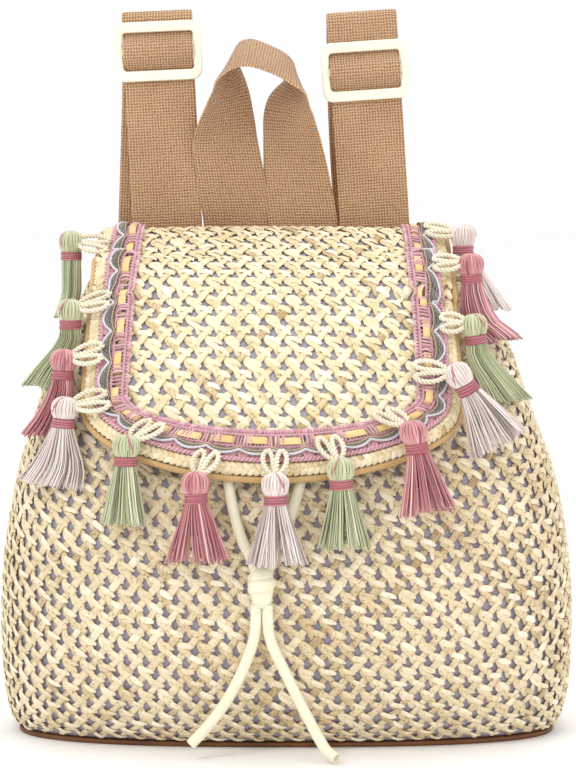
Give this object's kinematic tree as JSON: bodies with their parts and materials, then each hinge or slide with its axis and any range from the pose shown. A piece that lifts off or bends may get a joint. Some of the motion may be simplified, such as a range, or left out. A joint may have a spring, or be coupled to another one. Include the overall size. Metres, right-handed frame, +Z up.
{
  "type": "woven straw backpack",
  "caption": "Small drawstring backpack of woven straw with a lace and tassel edged flap, webbing straps with sliders, a grab handle and a knotted tube cord.",
  "frame": {"origin": "centre of the base panel's underside, on the surface that the bag stands on", "axes": "+X to the right as seen from the front, -Y to the front, +Z up"},
  "size_m": [0.3, 0.1914, 0.3823],
  "materials": {
    "straw": "satin natural straw tape",
    "flap_straw": "satin pale straw tape",
    "lilac_cloth": "matt woven lining",
    "brown_hide": "smooth, slight sheen",
    "tan_binding": "satin edge binding",
    "rose_lace": "matt crochet lace",
    "yellow_tape": "satin ribbon",
    "silver_thread": "metallic thread braid",
    "tan_webbing": "woven cotton webbing",
    "ivory_plastic": "moulded, soft sheen",
    "ivory_cord": "glossy woven tube",
    "cream_yarn": "twisted cotton",
    "rose_yarn": "silky yarn",
    "pale_yarn": "silky yarn",
    "green_yarn": "silky yarn"
  },
  "bodies": {
    "root": {"body_weave": "straw", "body_lining": "lilac_cloth", "base_panel": "brown_hide", "mouth_hem": "straw", "flap_lining": "lilac_cloth", "flap_weave": "flap_straw", "flap_binding": "tan_binding", "flap_braid_border": "straw", "lace_trim": "rose_lace", "threaded_ribbon": "yellow_tape", "silver_braid": "silver_thread", "tassel_01": "green_yarn", "tassel_loop_01": "cream_yarn", "tassel_02": "green_yarn", "tassel_loop_02": "cream_yarn", "tassel_03": "rose_yarn", "tassel_loop_03": "cream_yarn", "tassel_04": "pale_yarn", "tassel_loop_04": "cream_yarn", "tassel_05": "green_yarn", "tassel_loop_05": "cream_yarn", "tassel_06": "rose_yarn", "tassel_loop_06": "cream_yarn", "tassel_07": "pale_yarn", "tassel_loop_07": "cream_yarn", "tassel_08": "green_yarn", "tassel_loop_08": "cream_yarn", "tassel_09": "rose_yarn", "tassel_loop_09": "cream_yarn", "tassel_10": "pale_yarn", "tassel_loop_10": "cream_yarn", "tassel_11": "green_yarn", "tassel_loop_11": "cream_yarn", "tassel_12": "rose_yarn", "tassel_loop_12": "cream_yarn", "tassel_13": "pale_yarn", "tassel_loop_13": "cream_yarn", "strap_left": "tan_webbing", "strap_right": "tan_webbing", "slider_left": "ivory_plastic", "slider_right": "ivory_plastic", "grab_handle": "tan_webbing", "drawstring_left": "ivory_cord", "drawstring_right": "ivory_cord", "drawstring_tail_left": "ivory_cord", "drawstring_tail_right": "ivory_cord", "drawstring_knot": "ivory_cord"}
  },
  "joints": []
}
